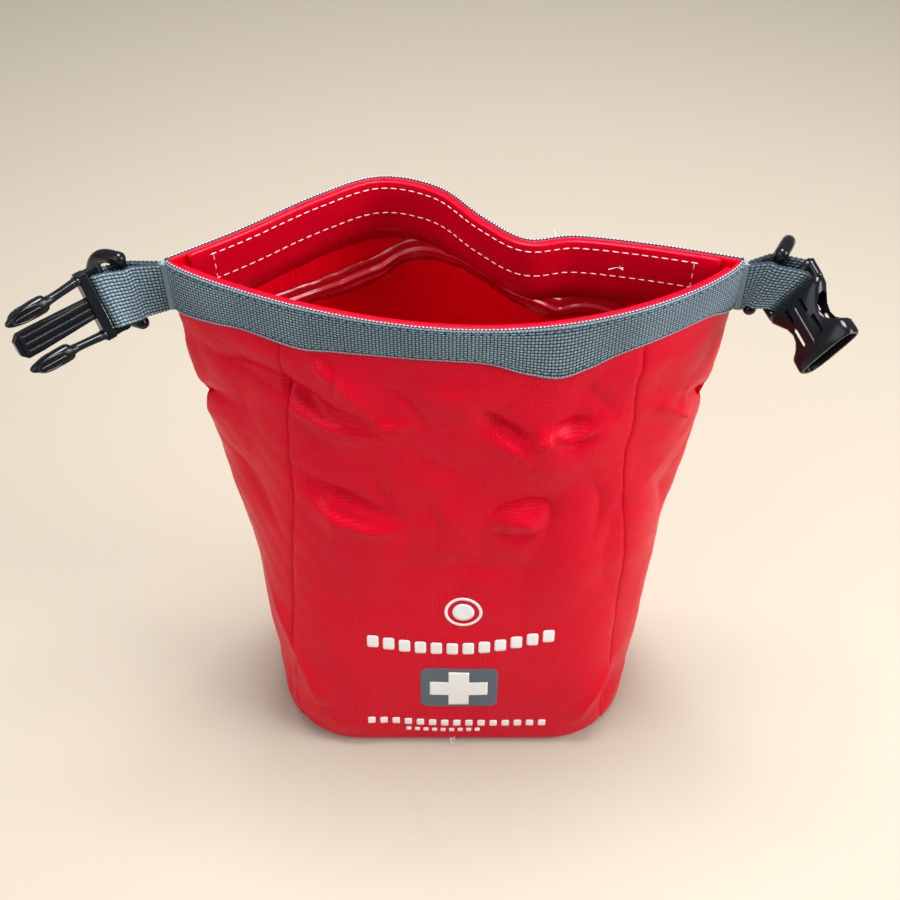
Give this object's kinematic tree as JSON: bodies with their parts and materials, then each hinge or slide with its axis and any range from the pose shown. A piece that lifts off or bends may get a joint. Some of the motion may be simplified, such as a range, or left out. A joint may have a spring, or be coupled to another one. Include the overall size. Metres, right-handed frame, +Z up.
{
  "type": "roll-top first aid kit bag",
  "caption": "Roll-top waterproof first aid bag with an oval base, webbing-bound mouth, side-release buckle, D-rings and supplies inside.",
  "frame": {"origin": "middle of the base, on the surface that the bag stands on", "axes": "+Z up, +X to the right along the mouth, the printed front faces -Y"},
  "size_m": [0.2792, 0.098, 0.2373],
  "materials": {
    "coated_fabric": "polyurethane-coated ripstop, satin",
    "hem_fabric": "coated, glossy",
    "seam_tape": "welded clear tape over red",
    "webbing": "woven, matt",
    "stiffener": "plain strip",
    "buckle_plastic": "moulded acetal, soft gloss",
    "bandage_cloth": "crinkled gauze",
    "tape_cloth": "zinc oxide cloth tape",
    "card": "card tube",
    "packet_paper": "sealed paper sleeve",
    "steel": "satin",
    "grip_plastic": "moulded"
  },
  "bodies": {
    "bag": {"front_panel": "coated_fabric", "back_panel": "coated_fabric", "left_gusset": "coated_fabric", "right_gusset": "coated_fabric", "base_panel": "coated_fabric", "front_webbing": "webbing", "back_webbing": "webbing", "front_facing": "hem_fabric", "back_facing": "hem_fabric", "front_stiffener": "stiffener", "back_stiffener": "stiffener", "front_seam_tape": "seam_tape", "back_seam_tape": "seam_tape", "left_corner_tack": "webbing", "right_corner_tack": "webbing"},
    "left_strap": {"left_loop": "webbing"},
    "right_strap": {"right_loop": "webbing"},
    "left_ring": {"left_d_ring": "buckle_plastic"},
    "right_ring": {"right_d_ring": "buckle_plastic"},
    "male_half": {"male_frame": "buckle_plastic"},
    "upper_arm": {"upper_prong": "buckle_plastic"},
    "lower_arm": {"lower_prong": "buckle_plastic"},
    "female_half": {"female_buckle": "buckle_plastic"},
    "bandage": {"rolled_bandage": "bandage_cloth"},
    "tape": {"tape_core": "card", "tape_roll": "tape_cloth"},
    "dressings": {"dressing_packets": "packet_paper"},
    "scissors": {"scissor_blade_a": "steel", "scissor_grip_a": "grip_plastic", "scissor_rivet": "steel"},
    "scissors_half": {"scissor_blade_b": "steel", "scissor_grip_b": "grip_plastic"},
    "tweezers_body": {"tweezers": "steel"}
  },
  "joints": [
    {"name": "left_loop_swing", "type": "hinge", "parent": "bag", "child": "left_strap", "pos_m": [-0.09937, 0, 0.2208], "axis": [0, 0, 1], "range_deg": [-20, 25]},
    {"name": "right_loop_swing", "type": "hinge", "parent": "bag", "child": "right_strap", "pos_m": [0.09937, 0, 0.2208], "axis": [0, 0, 1], "range_deg": [-25, 20]},
    {"name": "left_ring_swing", "type": "hinge", "parent": "left_strap", "child": "left_ring", "pos_m": [-0.11044, -0.0039, 0.22154], "axis": [-0.1504, 0.1175, 0.9816], "range_deg": [-35, 15]},
    {"name": "right_ring_swing", "type": "hinge", "parent": "right_strap", "child": "right_ring", "pos_m": [0.10668, 0.00023, 0.22234], "axis": [0.244, -0.0563, 0.9681], "range_deg": [-10, 35]},
    {"name": "male_swing", "type": "hinge", "parent": "left_strap", "child": "male_half", "pos_m": [-0.1162, -0.00884, 0.22301], "axis": [-0.2952, 0.2306, 0.9272], "range_deg": [-25, 45]},
    {"name": "female_swing", "type": "hinge", "parent": "right_strap", "child": "female_half", "pos_m": [0.11345, -0.00309, 0.22378], "axis": [0.4724, -0.1091, 0.8746], "range_deg": [-5, 45]},
    {"name": "upper_prong_flex", "type": "hinge", "parent": "male_half", "child": "upper_arm", "pos_m": [-0.12524, -0.01142, 0.23199], "axis": [0.5732, -0.7336, 0.365], "range_deg": [0, 5], "stiffness_Nm_per_rad": 0.4},
    {"name": "lower_prong_flex", "type": "hinge", "parent": "male_half", "child": "lower_arm", "pos_m": [-0.1191, -0.01622, 0.2127], "axis": [-0.5732, 0.7336, -0.365], "range_deg": [0, 5], "stiffness_Nm_per_rad": 0.4},
    {"name": "bandage_lift", "type": "slide", "parent": "bag", "child": "bandage", "axis": [0, 0, 1], "range_m": [0, 0.245]},
    {"name": "tape_lift", "type": "slide", "parent": "bag", "child": "tape", "axis": [0, 0, 1], "range_m": [0, 0.245]},
    {"name": "dressings_lift", "type": "slide", "parent": "bag", "child": "dressings", "axis": [0, 0, 1], "range_m": [0, 0.245]},
    {"name": "scissors_lift", "type": "slide", "parent": "bag", "child": "scissors", "axis": [0, 0, 1], "range_m": [0, 0.245]},
    {"name": "tweezers_lift", "type": "slide", "parent": "bag", "child": "tweezers_body", "axis": [0, 0, 1], "range_m": [0, 0.245]},
    {"name": "scissors_pivot", "type": "hinge", "parent": "scissors", "child": "scissors_half", "pos_m": [0.036, -0.0062, 0.04342], "axis": [0, -1, 0], "range_deg": [0, 28]}
  ]
}
